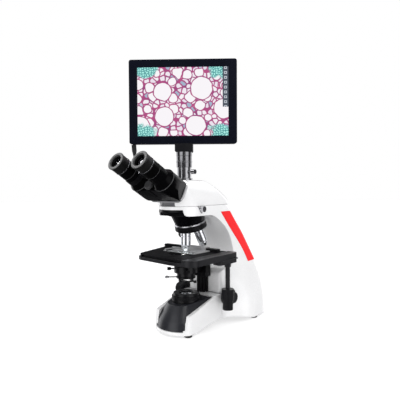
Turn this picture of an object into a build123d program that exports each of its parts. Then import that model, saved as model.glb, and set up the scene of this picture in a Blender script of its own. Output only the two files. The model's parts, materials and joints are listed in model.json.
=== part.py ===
from build123d import *
from math import sin, cos, tan, radians, degrees, atan2, pi, sqrt
import os

# Trinocular compound microscope with a screen on its photo tube, in millimetres
# X points to the user's right, Y away from the user and Z up
# The origin is on the optical axis, on the table

# Main levels on the optical axis
FOOT_HEIGHT = 6.0
NOSE_RIM_Z = 13.0
DECK_Z = 72.0
LAMP_RING_TOP = 82.0
STAGE_TOP = 170.5
OBJECTIVE_TIP_Z = 173.5
OBJECTIVE_SEAT_Z = 212.0
SEAM_Z = 273.0
HEAD_TOP_Z = 328.0
SCREEN_BOTTOM_Z = 407.0

# Stand casting
TAIL_HALF = 86.0
NOSE_HALF = 50.0
NOSE_FRONT = -69.0
NOSE_CORNER_X, NOSE_CORNER_Y = 48.0, -46.0
BASE_REAR = 229.0
FEET = [(38, -38), (-38, -38), (73, 163), (-73, 163)]
DIAL_Y, DIAL_Z = 46.0, 32.0
COLUMN_FRONT = 65.0
ARM_FRONT = -62.0
ARM_UNDERSIDE = 252.0
LIP_UNDERSIDE = 265.5
MOUNT_TOP = 263.0
CLAMP_Z = 266.6
WALL = 6.0
# Height, half width behind, rear edge, rear corner radius, end of the flare
ARM_LEVELS = [
    (FOOT_HEIGHT, TAIL_HALF, BASE_REAR, 48.0, 150.0),
    (40.0, TAIL_HALF, BASE_REAR, 48.0, 150.0),
    (72.0, 80.0, 230.0, 47.0, 150.0),
    (104.0, 69.0, 228.0, 43.0, 150.0),
    (140.0, 58.0, 214.5, 37.0, 148.0),
    (208.0, 51.0, 165.5, 31.0, 120.0),
    (257.0, 50.2, 122.0, 28.0, 88.0),
    (276.0, 50.1, 105.0, 27.0, 74.0),
]

# Focus drive
FOCUS_Y, FOCUS_Z = 68.0, 68.0
PITCH_RADIUS = 6.0
PINION_TEETH = 16
MODULE = 2 * PITCH_RADIUS / PINION_TEETH
PITCH = pi * MODULE
COARSE_SHAFT, FINE_SHAFT = 5.0, 3.0
COARSE_RADIUS, FINE_RADIUS = 19.0, 12.0
KNOB_INNER, KNOB_OUTER, FINE_END = 59.0, 74.0, 83.5
RACK_BACK = 54.0
RACK_LOW, RACK_HIGH = 59.0, 118.0

# Stage
PLATE_UNDERSIDE = 158.0
LOWER_PLATE_TOP = 165.0
UPPER_PLATE_LOW = 166.0
DRIVE_X, DRIVE_Y = 89.4, 33.0
SLIDE_LONG, SLIDE_WIDE, SLIDE_THICK = 76.0, 26.0, 1.2
SLIDE_Y = -8.0
X_RAIL_Y0, X_RAIL_Y1, X_RAIL_TOP = 34.0, 46.0, 177.0
CONDENSER_RADIUS = 21.0

# Nosepiece: the turret leans back, so the spare objectives tip towards the arm
TURRET_LEAN = 15.0
SEAT_RADIUS = 20.5
TURRET_RADIUS, GRIP_RADIUS = 33.0, 35.5

# Binocular head: the tubes rise towards the user
TUBE_RISE = 30.0
EYE_Y, EYE_Z = -167.7, 364.7
HALF_IPD = 32.85
HINGE_DROP = 12.0
HINGE_RADIUS = 11.5
HOUSING_RADIUS, TUBE_RADIUS = 24.5, 18.3
SHOULDER, HOUSING_START, HOUSING_END = -64.0, -74.0, -126.7
FLANGE_FRONT, HEAD_FACE = -127.0, -131.5

# Screen
SCREEN_TURN = 37.4
SCREEN_W, SCREEN_H, SCREEN_THICK = 234.2, 182.2, 27.0
DISPLAY_W, DISPLAY_H = 197.1, 147.8
SCREEN_X, SCREEN_FACE_Y, SCREEN_CENTRE_Z = -1.9, -4.2, 498.2
PORT_Y = -3.5
BLOCK_WIDE = 38.5

FIT = 0.05
GAP = 0.4

parts = {}


def ring(outer, inner, low, high, x=0.0, y=0.0):
    """Upright disc, or a tube when inner is above zero."""
    body = Pos(x, y, (low + high) / 2) * Cylinder(outer, high - low)
    if inner > 0:
        body -= Pos(x, y, (low + high) / 2) * Cylinder(inner, high - low + 2)
    return body


def block(x0, x1, y0, y1, z0, z1):
    """Box from its limits."""
    return Pos((x0 + x1) / 2, (y0 + y1) / 2, (z0 + z1) / 2) * Box(x1 - x0, y1 - y0, z1 - z0)


def turned(*outline):
    """Solid of revolution about Z from (radius, height) points."""
    face = make_face(Polyline(*[(r, 0, z) for r, z in outline], close=True))
    return revolve(face, Axis.Z)


def bar_x(radius, x0, x1, y, z, bore=0.0):
    """Round bar or tube along X."""
    place = Pos((x0 + x1) / 2, y, z) * Rot(0, 90, 0)
    body = place * Cylinder(radius, x1 - x0)
    if bore > 0:
        body -= place * Cylinder(bore, x1 - x0 + 2)
    return body


def prism_x(points, x0, x1):
    """Side profile of (y, z) points, drawn from x0 to x1."""
    face = make_face(Polyline(*[(x0, y, z) for y, z in points], close=True))
    return extrude(face, amount=x1 - x0, dir=(1, 0, 0))


def prism_z(points, z0, z1, radii=0):
    """Plan of (x, y) points, drawn from z0 to z1, with a radius at each corner."""
    flat = [(x, y, z0) for x, y in points]
    path = FilletPolyline(*flat, radius=radii, close=True) if radii else Polyline(*flat, close=True)
    return extrude(make_face(path), amount=z1 - z0, dir=(0, 0, 1))


def knurled(radius, bore, low, high, count, groove):
    """Hand grip with grooves along its rim."""
    body = ring(radius, bore, low, high)
    cutter = Pos(radius + groove * 0.4, 0, (low + high) / 2) * Cylinder(groove, high - low + 2)
    for i in range(count):
        body -= Rot(0, 0, 360 / count * i) * cutter
    return body


def arm_section(z, half_rear, rear, corner, flare_end, inset=0.0):
    """Plan of the stand at one height: round nose, straight flanks, flared and rounded tail."""
    f, r, back, c = NOSE_HALF - inset, half_rear - inset, rear - inset, corner - inset
    front = ARM_FRONT + inset
    k = sqrt(0.5)
    edges = [ThreePointArc((-f, front + f, z), (0, front, z), (f, front + f, z)),
             Line((r - c, back, z), (c - r, back, z))]
    for s in (1, -1):
        edges += [
            Line((s * f, front + f, z), (s * f, 56, z)),
            Spline((s * f, 56, z), (s * r, flare_end, z), tangents=[(0, 1, 0), (0, 1, 0)]),
            Line((s * r, flare_end, z), (s * r, back - c, z)),
            ThreePointArc((s * r, back - c, z), (s * (r - c + c * k), back - c + c * k, z), (s * (r - c), back, z)),
        ]
    return make_face(edges)


def arm_loft(inset=0.0, levels=ARM_LEVELS):
    return loft([arm_section(z, r, rear, c, end, inset) for z, r, rear, c, end in levels])


def throat_tool():
    """The open space between base and arm, cut straight through."""
    with BuildLine(Plane.YZ) as line:
        Polyline((-130, 0), (-130, LIP_UNDERSIDE), (-53, LIP_UNDERSIDE))
        Spline((-53, LIP_UNDERSIDE), (-46, 258), (-36, ARM_UNDERSIDE), tangents=[(1, 0), (1, 0)])
        Line((-36, ARM_UNDERSIDE), (22, ARM_UNDERSIDE))
        Spline((22, ARM_UNDERSIDE), (57, 240), (87, 214.7), (101, 192), (108, 170), (109, 152),
               tangents=[(1, 0), (0, -1)])
        Spline((109, 152), (100, 134), (84, 128), tangents=[(0, -1), (-1, 0)])
        Spline((84, 128), (70, 124), (COLUMN_FRONT, 112), tangents=[(-1, 0), (0, -1)])
        Polyline((COLUMN_FRONT, 112), (COLUMN_FRONT, 0), (-130, 0))
    return extrude(make_face(line.line), amount=140, both=True)


def nose_face(inset=0.0):
    """Plan of the bowed front of the base, as far back as the column."""
    cx, cy, half = NOSE_CORNER_X - inset, NOSE_CORNER_Y + inset * 0.4, NOSE_HALF - inset
    edges = [ThreePointArc((-cx, cy), (0, NOSE_FRONT + inset), (cx, cy)),
             Line((-half, COLUMN_FRONT + 2), (half, COLUMN_FRONT + 2))]
    for s in (1, -1):
        edges += [Line((s * cx, cy), (s * half, cy + 8)),
                  Line((s * half, cy + 8), (s * half, COLUMN_FRONT + 2))]
    return make_face(edges)


def stand_casting():
    body = arm_loft() - throat_tool()
    for s in (1, -1):
        # Rounded front corners of the column
        edge = block(38, 70, 60, 77, DECK_Z, 150) - ring(12, 0, 60, 160, 38, 77)
        body -= edge if s > 0 else mirror(edge, Plane.YZ)
    nose = Pos(0, 0, FOOT_HEIGHT) * extrude(nose_face(), amount=DECK_Z - FOOT_HEIGHT)
    # Side walls slope down beside the lamp cover
    nose -= prism_x([(-90, 90), (-90, 17), (-50, 17), (-45, 45), (34, 70.5), (36, 90)], -70, 70)
    body += nose
    # The sides arch clear of the table between the feet
    with BuildLine(Plane.YZ) as belly:
        ThreePointArc((-22, FOOT_HEIGHT - 1), (68, 16), (150, FOOT_HEIGHT - 1))
        Line((150, FOOT_HEIGHT - 1), (-22, FOOT_HEIGHT - 1))
    body -= extrude(make_face(belly.line), amount=100, both=True)
    # Pocket for the lamp cover, open in front and narrower there
    pocket = [(-38.4, -80), (38.4, -80), (38.4, -53), (45.5, 34), (-45.5, 34), (-38.4, -53)]
    body -= prism_z(pocket, NOSE_RIM_Z, 90)
    # Hollow base for lamp and electronics, closed by the bottom plate
    body -= Pos(0, 0, -5) * extrude(nose_face(WALL) & Pos(0, -13, 0) * Rectangle(200, 120), amount=35)
    body -= block(-40, 40, 30, 90, -5, 44)
    tail = arm_section(-5, TAIL_HALF, BASE_REAR, 48, 150, WALL) & Pos(0, 158, -5) * Rectangle(200, 160)
    body -= extrude(tail, amount=53)
    # Pads for the feet
    for x, y in FEET:
        body += ring(10, 0, FOOT_HEIGHT, 24 if y > 0 else NOSE_RIM_Z - 0.2, x, y)
    # Hollow of the arm
    hollow = arm_loft(9.0, ARM_LEVELS[2:7])
    body -= hollow & block(-40, 40, 122, 300, 60, 240)
    # Focus drive: shaft bore, pinion pocket and the well that the rack sinks into
    body -= bar_x(COARSE_SHAFT + FIT, -90, 90, FOCUS_Y, FOCUS_Z)
    body -= bar_x(8.5, -9, 9, FOCUS_Y, FOCUS_Z)
    body -= block(-6.5, 6.5, 51.5, 67.5, 41, 100)
    # Head seat, light path and clamp screw
    body -= ring(21, 0, SEAM_Z - 7, SEAM_Z + 4)
    body -= ring(14, 0, 245, 270)
    body -= block(-150, 150, -150, 300, SEAM_Z, 300)
    body -= prism_x([(-21, 276), (-5.6, 257), (10, 276)], 42, 60)
    body -= bar_x(2.0 + FIT, 20, 60, -5.6, CLAMP_Z)
    # Recess for the nosepiece mount, open to the front
    body -= ring(38.4, 0, 240, MOUNT_TOP) + block(-34.4, 34.4, -70, -24, 240, LIP_UNDERSIDE)
    # Mains inlet and switch in the tail, and the shaft of the lamp dial in the left flank
    body -= block(-38, -10, 215, 240, 22, 43)
    body -= block(12, 34, 215, 240, 24, 39) + bar_x(1.5 + FIT, 10.9, 35.1, 221, 31.5)
    body -= bar_x(3 + FIT, -60, -30, DIAL_Y, DIAL_Z)
    return body




def stripe(side):
    """Red inlay that follows the back of the arm."""
    with BuildLine(Plane.YZ) as line:
        Line((62.5, 258), (98.5, 258))
        Spline((98.5, 258), (120, 233), (145.5, 205), (171, 170), (190, 135))
        Line((190, 135), (159, 134))
        Spline((159, 134), (139.5, 172), (115, 200), (80, 238), (62.5, 258))
    band = extrude(make_face(line.line), amount=side * 100, dir=(1, 0, 0))
    return (arm_loft(-0.5) - arm_loft(-0.02)) & band


def cover_solid(inset):
    """Outer form of the lamp cover, moved inwards by inset."""
    # Height, half width of the bowed front, its corner, its middle, and where its bevel meets the pocket wall
    levels = [(NOSE_RIM_Z + 0.2, 37.9, -52.2, -66.8, -52), (30, 37, -46.3, -63, -45.5), (45, 33, -37.5, -55, -36),
              (62, 27.5, -30, -44, -20), (73, 24, -22, -33, -10)]
    faces = []
    for z, half, corner_y, front_y, side_y in levels:
        h, t = half - inset * 0.5, inset
        wall, rear = 38.1 + (side_y + 53) * 7.1 / 87 - inset, 45.2 - inset
        faces.append(make_face([ThreePointArc((-h, corner_y + t, z), (0, front_y + t, z), (h, corner_y + t, z)),
                                Line((h, corner_y + t, z), (wall, side_y + t, z)),
                                Line((wall, side_y + t, z), (rear, 33.7 - t, z)),
                                Line((rear, 33.7 - t, z), (-rear, 33.7 - t, z)),
                                Line((-rear, 33.7 - t, z), (-wall, side_y + t, z)),
                                Line((-wall, side_y + t, z), (-h, corner_y + t, z))]))
    body = loft(faces, ruled=True)
    body -= prism_x([(-90, 56.3 - inset), (34, 70.5 - inset), (34, 99), (-90, 99)], -60, 60)
    # Flat facets lean in from the side walls to the narrow front of the top
    low, top, end = Vector(39.4, -36, 45.5), Vector(27.5, -30, 63.2), Vector(45.2, 34, 70.5)
    normal = (end - low).cross(top - low).normalized()
    if normal.X < 0:
        normal = normal * -1
    facet = Plane(origin=low - normal * inset, z_dir=normal) * Pos(0, 0, 50) * Box(300, 300, 100)
    return body - facet - mirror(facet, Plane.YZ)


def nose_cover():
    """Black lamp cover over the front of the base."""
    shell = cover_solid(0) - Pos(0, 0, -0.5) * cover_solid(2.5)
    shell -= block(-41, 41, 20, 40, 0, 60)
    return shell - ring(31.9, 0, 50, 90)


def lamp():
    """Light source: lamp on its heat sink, collector with its lens, and field diaphragm ring."""
    sink = ring(23, 0, 19.5, 24)
    sink += ring(6, 0, 24, 46)
    for i in range(12):
        sink += Rot(0, 0, 30 * i) * block(5, 23, -0.8, 0.8, 24, 44)
    sink += ring(24, 0, 44, 46)
    sink += ring(18, 0, 46, 47.6) + ring(4, 0, 47.6, 49) + Pos(0, 0, 49) * Sphere(3.2)
    collector = turned((15.2, 46), (24, 46), (24, 58), (31.5, 58), (31.5, 69), (27.4, 69), (27.4, 76.2),
                       (29.2, 76.2), (28, LAMP_RING_TOP), (18, LAMP_RING_TOP), (16.5, 80.5), (15.2, 80.5))
    collector -= ring(18.1, 0, 45, 50)
    collector += turned((13, 73), (15.3, 73), (15.3, 75), (13, 75))
    lens = turned((0, 75), (15.15, 75), (15.15, 78), (10, 79.6), (5, 80.3), (0, 80.5))
    dial = knurled(31.5, 27.6, 69.2, 76.0, 40, 0.9)
    return {"lamp_module": sink, "collector_housing": collector, "field_lens": lens,
            "field_diaphragm_ring": dial}


def base_fittings():
    """Bottom plate, feet, mains inlet, switch and lamp dial."""
    nose = nose_face(WALL + 4) & Pos(0, -13, 0) * Rectangle(69, 119.4)
    tail = arm_section(0, TAIL_HALF, BASE_REAR, 48, 150, WALL + 0.3) & Pos(0, 158, 0) * Rectangle(200, 159.4)
    plan = nose + Pos(0, 60, 0) * Rectangle(79.4, 59.4) + tail
    plate = Pos(0, 0, 17) * extrude(plan, amount=2.5)
    feet = []
    for x, y in FEET:
        plate -= ring(10.3, 0, 10, 30, x, y)
        foot = turned((0, 0), (7.5, 0), (9, 1.5), (9, FOOT_HEIGHT), (0, FOOT_HEIGHT))
        feet.append(Pos(x, y, 0) * foot)
    inlet = block(-37.9, -10.1, 217, BASE_REAR + 1.5, 22.1, 42.9) - block(-35, -13, 219, 240, 24.6, 40.4)
    for x, z in ((-30, 30), (-18, 30), (-24, 36)):
        inlet += block(x - 1, x + 1, 218, 227, z - 2, z + 2)
    rocker = prism_x([(219, 25.6), (229.4, 25.6), (229.0, 31.5), (231.8, 37.4), (219, 37.4)], 12.5, 33.5)
    rocker += bar_x(1.5, 11, 35, 221, 31.5)
    dial = bar_x(11, -60, -50.4, DIAL_Y, DIAL_Z) + bar_x(3, -50.4, -36, DIAL_Y, DIAL_Z)
    groove = Pos(-56, 0, 0) * Rot(0, 90, 0) * Cylinder(1.0, 14)
    for i in range(20):
        dial -= Pos(0, DIAL_Y + 11.4 * cos(i * pi / 10), DIAL_Z + 11.4 * sin(i * pi / 10)) * groove
    return {"bottom_plate": plate, "rubber_feet": feet, "power_inlet": inlet, "power_rocker": rocker, "brightness_knob": dial}


def pinion_gear():
    """Sixteen straight teeth, one of them on the rack side."""
    gear = bar_x(5.0, -6, 6, 0, 0)
    root, tip = 5.0, PITCH_RADIUS + MODULE - 0.1
    thick = PITCH / 2 - 0.28
    flank = [(-root + 0.3, -thick * 0.72), (-PITCH_RADIUS, -thick / 2), (-tip, -thick * 0.24), (-tip, thick * 0.24),
             (-PITCH_RADIUS, thick / 2), (-root + 0.3, thick * 0.72)]
    tooth = prism_x(flank, -6, 6)
    for i in range(PINION_TEETH):
        gear += Rot(360 / PINION_TEETH * i, 0, 0) * tooth
    return Pos(0, FOCUS_Y, FOCUS_Z) * gear


def rack_teeth():
    """Straight rack that meshes with the pinion, on the back of the stage carrier's tongue."""
    pitch_y = FOCUS_Y - PITCH_RADIUS
    root_y, tip_y = pitch_y - MODULE - 0.2, pitch_y + MODULE - 0.1
    rack = block(-4, 4, RACK_BACK - 2, root_y + 0.01, RACK_LOW, RACK_HIGH)
    half = PITCH / 4 - 0.06
    slope = tan(radians(20))
    first = FOCUS_Z + PITCH / 2 - PITCH * int((FOCUS_Z - RACK_LOW) / PITCH)
    for i in range(int((FOCUS_Z + 24 - RACK_LOW) / PITCH)):
        z = first + i * PITCH
        wide, slim = half + (pitch_y - root_y) * slope, half - (tip_y - pitch_y) * slope
        rack += prism_x([(root_y, z - wide), (tip_y, z - slim), (tip_y, z + slim), (root_y, z + wide)], -4, 4)
    return rack


def focus():
    """Fixed guide, coarse shaft with its pinion, fine shaft inside it, and the knobs."""
    low, high = DECK_Z + 0.05, 137
    guide = block(-12, 12, 58, COLUMN_FRONT, low, high)
    guide += prism_z([(-9, 58.5), (-12, 52), (12, 52), (9, 58.5)], low, high)
    guide -= block(-6.3, 6.3, 40, 63.4, 60, 140)
    guide -= bar_x(COARSE_SHAFT + 0.4, -30, 30, FOCUS_Y, FOCUS_Z) + bar_x(7.6, -6.6, 6.6, FOCUS_Y, FOCUS_Z)
    shaft = bar_x(COARSE_SHAFT, -KNOB_OUTER, KNOB_OUTER, FOCUS_Y, FOCUS_Z) + pinion_gear()
    shaft -= bar_x(FINE_SHAFT + FIT, -90, 90, FOCUS_Y, FOCUS_Z)
    coarse = knurled(COARSE_RADIUS, COARSE_SHAFT, KNOB_INNER, KNOB_OUTER, 36, 1.1)
    fine = knurled(FINE_RADIUS, 0, KNOB_OUTER + GAP, FINE_END, 24, 0.9)
    right = Pos(0, FOCUS_Y, FOCUS_Z) * Rot(0, 90, 0)
    left = Pos(0, FOCUS_Y, FOCUS_Z) * Rot(0, -90, 0)
    inner = bar_x(FINE_SHAFT, -FINE_END + 2, FINE_END - 2, FOCUS_Y, FOCUS_Z) + right * fine + left * fine
    return {"focus_guide": guide, "coarse_shaft": shaft, "coarse_knobs": [right * coarse, left * coarse],
            "fine_focus_spindle": inner}


def stage_plan(inset=0.0):
    """Outline of the stage: bowed front, left side spread towards the back."""
    t = inset
    return [(-72 + t, -81 + t), (36, -92 + t), (95 - t, -89 + t), (92 - t, 68 - t), (-110 + t, 71 - t)]


def stage():
    """Carrier, plates, drive knobs, slide holder with its sprung finger, and the slide."""
    carrier = block(-24, 24, 40, 57.6, 111, 157.9)
    carrier -= prism_z([(-9.3, 58.7), (-12.4, 51.6), (12.4, 51.6), (9.3, 58.7)], 100, 160)
    carrier += block(-34, 34, 22, 57.6, 150, 157.9) - block(-13, 13, 51, 60, 140, 160)
    carrier += block(-4, 4, 50, RACK_BACK, 111, 126) + rack_teeth()
    carrier -= ring(25.5, 0, 100, 160) + bar_x(3 + FIT, -30, -14, 46, 128)
    lower = prism_z(stage_plan(), PLATE_UNDERSIDE, LOWER_PLATE_TOP, [26, 80, 22, 8, 10])
    wing = prism_z(stage_plan(), LOWER_PLATE_TOP, STAGE_TOP, [26, 80, 22, 8, 10]) & block(66, 120, -120, 120, 160, 175)
    lower += wing
    for x in (-52, 48):
        lower += block(x - 4, x + 4, -60, 38, LOWER_PLATE_TOP, 168.4)
    lower += prism_z([(70, 4), (95, -2), (95, 64), (70, 64)], 149.5, PLATE_UNDERSIDE, [6, 8, 8, 6])
    lower -= ring(25.5, 0, 150, 170)
    lower += ring(4.9, 0, 96, 150, DRIVE_X, DRIVE_Y) + ring(7, 0, 143, 150, DRIVE_X, DRIVE_Y)
    lower -= ring(3 + FIT, 0, 90, 157, DRIVE_X, DRIVE_Y)
    for x in (72, 78):
        lower -= block(x, x + 1.2, -95, 60, STAGE_TOP - 0.8, 172)
    inner = [(-69, -78.5), (36, -89), (65.4, -89), (65.4, 62), (-104, 62)]
    upper = prism_z(inner, UPPER_PLATE_LOW, STAGE_TOP, [24, 70, 2, 2, 8])
    upper -= prism_z([(-19, -46), (19, -46), (19, 20), (-19, 20)], 160, 175, [18, 18, 18, 18])
    for x in (-52, 48):
        upper -= block(x - 4.3, x + 4.3, -84, 59, 160, 168.8)
    rail = block(-98, 60, X_RAIL_Y0, X_RAIL_Y1, STAGE_TOP, X_RAIL_TOP)
    rail -= block(-99, 61, X_RAIL_Y0 - 1, X_RAIL_Y0 + 1.5, 172.6, 174.6)
    top = X_RAIL_TOP + 0.3
    plate_y = SLIDE_Y + SLIDE_WIDE / 2 + 0.2
    half = SLIDE_LONG / 2
    holder = block(-46, half + 3.2, plate_y, 33.6, 170.8, 173.0)
    holder += block(half + 0.2, half + 3.2, SLIDE_Y - 12, plate_y + 1, 170.8, 173.0)
    holder += block(-34, 30, 30.6, 33.6, 170.8, top + 1.4)
    holder += block(-34, 30, 30.6, 48, top, top + 1.4)
    holder += block(-34, 30, 46.4, 48, 171.2, top + 1)
    holder -= ring(2.5, 0, 170, 180, -42, 22)
    finger = ring(2.45, 0, 170.8, 173.0, -42, 22) + ring(4.5, 0, 173.2, 175, -42, 22)
    finger += ring(2.45, 0, 172.9, 173.3, -42, 22)
    finger += prism_z([(-46.4, 20), (-40, 20), (-41.5, 2), (-46, -14), (-38.6, -23.5), (-40.8, -25.6), (-50, -14)],
                      173.2, 175)
    finger += block(-43.8, -38.6, -25, -21.3, 171.6, 173.4)
    finger += block(-60, -42, 20.5, 23.5, 173.2, 175)
    slide = block(-half, half, SLIDE_Y - 13, SLIDE_Y + 13, STAGE_TOP + 0.3, STAGE_TOP + 0.3 + SLIDE_THICK)
    y_knob = Pos(DRIVE_X, DRIVE_Y, 0) * knurled(13.2, 3 + FIT, 72, 95.6, 24, 0.9)
    x_knob = Pos(DRIVE_X, DRIVE_Y, 0) * knurled(11.1, 0, 51, 71.6, 20, 0.9)
    x_knob += ring(3, 0, 71.5, 156, DRIVE_X, DRIVE_Y)
    return {"stage_carrier": carrier, "stage_lower_plate": lower, "stage_upper_plate": upper, "stage_x_rail": rail, "slide_holder": holder, "slide_finger": finger,
            "specimen_slide": slide, "stage_y_knob": y_knob, "stage_x_knob": x_knob}


def condenser():
    """Condenser carrier, body with its iris lever, centring screws and swing-out filter holder."""
    r = CONDENSER_RADIUS
    holder = ring(r + 5, r + FIT, 126, 140) + (block(-13, 13, 20, 39.6, 122, 146) - ring(r + FIT, 0, 100, 160))
    body = turned((12, 118), (r - 1, 118), (r - 1, 126), (r, 126), (r, 142), (r - 3, 146), (16, 150), (14, 162.4),
                  (12, 162.4))
    body -= ring(12, 0, 110, 170)
    lens = turned((0, 158), (12, 158), (12, 162.4), (9.5, 164.3), (5, 165.3), (0, 165.6))
    low_lens = turned((0, 119), (12, 119), (12, 123), (0, 123))
    iris = turned((13, 113.5), (r, 113.5), (r, 117.6), (13, 117.6))
    iris += Rot(0, 0, 222) * (block(r - 1, 40, -1.2, 1.2, 114.5, 116.6) + ring(3.6, 0, 113.8, 117.3, 42, 0))
    screws = []
    for angle in (222, 318):
        screw = bar_x(1.5, r + 5.05, r + 12, 0, 134) + bar_x(3.6, r + 12, r + 20, 0, 134)
        screws.append(Rot(0, 0, angle) * screw)
    frame = turned((14, 106), (16.8, 106), (16.8, 110), (14, 110))
    frame += block(14.5, 25, -1.5, 1.5, 107, 109) + ring(3.2, 0, 105.5, 110.5, 26, 0)
    frame += block(-24, -14.5, 4, 9, 107, 109) + ring(4, 0, 107, 109, -24.5, 8)
    frame -= ring(2 + FIT, 0, 100, 115, -24.5, 8)
    pin = ring(2, 0, 105, 118, -24.5, 8) + ring(3, 0, 104, 105, -24.5, 8)
    pin += block(-27.5, -17, 5, 11, 118, 122)
    body += pin - ring(12, 0, 90, 130)
    knob = bar_x(9.5, -48, -37, 46, 128) + bar_x(3, -37, -15, 46, 128)
    return {"condenser_holder": holder, "condenser_body": body, "condenser_lenses": [lens, low_lens],
            "iris_ring": iris, "centring_screws": screws, "filter_holder": frame, "condenser_knob": knob}


def turret_frame():
    """Plane on the turret's axis at the level of the seats, its Z axis pointing down and back."""
    lean = radians(TURRET_LEAN)
    centre = Vector(0, SEAT_RADIUS * cos(lean), OBJECTIVE_SEAT_Z + SEAT_RADIUS * sin(lean))
    return Plane(origin=centre, x_dir=(1, 0, 0), z_dir=(0, sin(lean), -cos(lean)))


def objective(length, radius, tip):
    """Barrel with steps and a tapered nose, seated at Z zero and pointing up Z."""
    body = turned((3.5, -5), (10, -5), (10, 0), (radius, 0), (radius, 5), (radius - 0.7, 5.4),
                  (radius - 0.7, 7), (radius, 7.4), (radius, length * 0.68), (radius - 1.6, length * 0.73),
                  (radius - 1.6, length * 0.8), (tip, length - 0.4), (tip - 0.6, length), (2.6, length - 0.2),
                  (0, length + 0.1), (0, length - 3), (3.5, length - 3))
    return body


def nosepiece(casting):
    """Fixed mount under the arm, turret with its grip ring, and four objectives."""
    frame = turret_frame()
    mount = loft([Pos(0, 6.8, 251.9) * Circle(38.1), frame * Pos(0, 0, -20.5) * Circle(33.5)])
    mount += ring(38, 0, 250, MOUNT_TOP)
    mount += block(-34, 34, -45, -24.4, 252, MOUNT_TOP)
    plate = turned((0, 257.5), (45.5, 257.5), (49, 260.5), (49, LIP_UNDERSIDE), (0, LIP_UNDERSIDE))
    plate = Pos(0, -12, 0) * plate & block(-60, 60, -70, -24.4, 250, 270)
    mount += plate
    mount -= casting
    mount -= frame * ring(12, 0, -60, -26)
    mount -= ring(12, 0, 228, 270)
    mount = mount.solids().sort_by(SortBy.VOLUME)[-1]
    mount += frame * (ring(6, 0, -30, 0.5) + ring(9, 0, 0.6, 3) + ring(6, 0, 0.4, 0.7))
    turret = frame * turned((6 + FIT, 0.4), (10.5, 0.4), (10.5, 2.6), (32, -3.1), (TURRET_RADIUS, -6),
                            (TURRET_RADIUS, -20.1), (6 + FIT, -20.1))
    grip = frame * knurled(GRIP_RADIUS, TURRET_RADIUS, -16.5, -5.5, 36, 1.2)
    made = {"nosepiece_mount": mount, "turret_grip": grip, "objectives": []}
    kinds = [("40x", 38.5, 11.2, 4.6), ("100x", 38.5, 11.2, 4.4), ("10x", 36.0, 11.2, 5.2), ("4x", 20.0, 14.0, 9.0)]
    for i, (name, length, radius, tip) in enumerate(kinds):
        seat = frame * Rot(0, 0, SEAT_ANGLES[i]) * Pos(SEAT_RADIUS, 0, 0) * Rot(0, TURRET_LEAN, 0)
        turret -= seat * ring(10 + FIT, 0, -7, 3)
        turret -= seat * ring(8, 0, -30, 0)
        body = objective(length, radius, tip)
        if name == "4x":
            made["objective_4x"] = seat * body
        else:
            made["objectives"].append(seat * body)
    made["turret_body"] = turret
    return made


# The first seat is the working one; the others follow round the turret
SEAT_ANGLES = [90, 270, 0, 180]


def bino_frame():
    """Plane through the eye lenses: X right, Y up across the tubes, Z towards the user."""
    rise = radians(TUBE_RISE)
    return Plane(origin=(0, EYE_Y, EYE_Z), x_dir=(1, 0, 0), z_dir=(0, -cos(rise), sin(rise)))


def dome():
    """Rounded body of the head: same plan as the arm at the seam, leaning to a small top."""
    levels = [(SEAM_Z + 0.25, 50, 45, 121, 48, 30), (292, 50, 42, 106, 34, 30), (311, 48, 36, 75, 16, 26),
              (322, 42, 29, 54, 8, 20), (HEAD_TOP_Z, 33, 22, 37, 5, 14)]
    faces = []
    for z, front, rear, back, nose, corner in levels:
        points = [(-front, -62), (front, -62), (rear, back), (-rear, back)]
        radii = [nose, nose, corner, corner]
        faces.append(make_face(FilletPolyline(*[(x, y, z) for x, y in points], radius=radii, close=True)))
    return loft(faces)


def head():
    """Dome with its foot, front flange, hinge axle with its dial, beam splitter and clamp screw."""
    frame = bino_frame()
    hinge = frame * Pos(0, -HINGE_DROP, 0)
    front_cut = frame * Pos(0, 0, HEAD_FACE + 60) * Box(300, 300, 120)
    face_block = block(-21, 21, -80, -44, SEAM_Z, 286.2)
    housing = dome() - front_cut - face_block
    housing -= loft([Pos(0, 30, 279) * Rectangle(72, 140), Pos(0, 4, 322) * Rectangle(48, 68)])
    housing -= ring(14, 0, 270, 282)
    housing -= ring(12, 0, 320, 330, 0, PORT_Y)
    for s in (1, -1):
        housing -= frame * Pos(s * HALF_IPD * 0.6, 0, 0) * ring(9, 0, -150, -130)
    housing -= bar_x(2.5 + FIT, -60, -24, 8, 300)
    housing += ring(20.95, 14, SEAM_Z - 6.6, SEAM_Z + 2)
    housing = housing.solids().sort_by(SortBy.VOLUME)[-1]
    shape = RectangleRounded(94, 42, 14)
    flange = frame * Pos(0, 0.5, HEAD_FACE) * extrude(shape, amount=FLANGE_FRONT - HEAD_FACE)
    panel = block(-20.8, 20.8, -51, -44.2, SEAM_Z + 0.25, 286)
    flange -= hinge * ring(5, 0, -136, -120)
    for s in (1, -1):
        flange -= frame * Pos(s * HALF_IPD * 0.6, 0, 0) * ring(9, 0, -140, -120)
    axle = hinge * (ring(5, 0, -131.4, -72) + turned((5, -75.4), (10.2, -75.4), (10.2, -71), (8.5, -69), (0, -69), (0, -75.4)))
    prism = block(-13, 13, -12, 14, 287, 313) + bar_x(2.5, -60, -13, 8, 300) + bar_x(5.5, -68, -60, 8, 300)
    prism += block(-13, 13, -12, 14, 279.05, 287) - ring(9, 0, 270, 284)
    clamp = bar_x(2.0, 21.0, 52, -5.6, CLAMP_Z) + bar_x(6.2, 50.5, 58, -5.6, CLAMP_Z)
    return {"head_housing": housing, "head_front_flange": [flange, panel], "hinge_axle": axle, "beam_splitter": prism,
            "head_clamp_screw": clamp}


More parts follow.
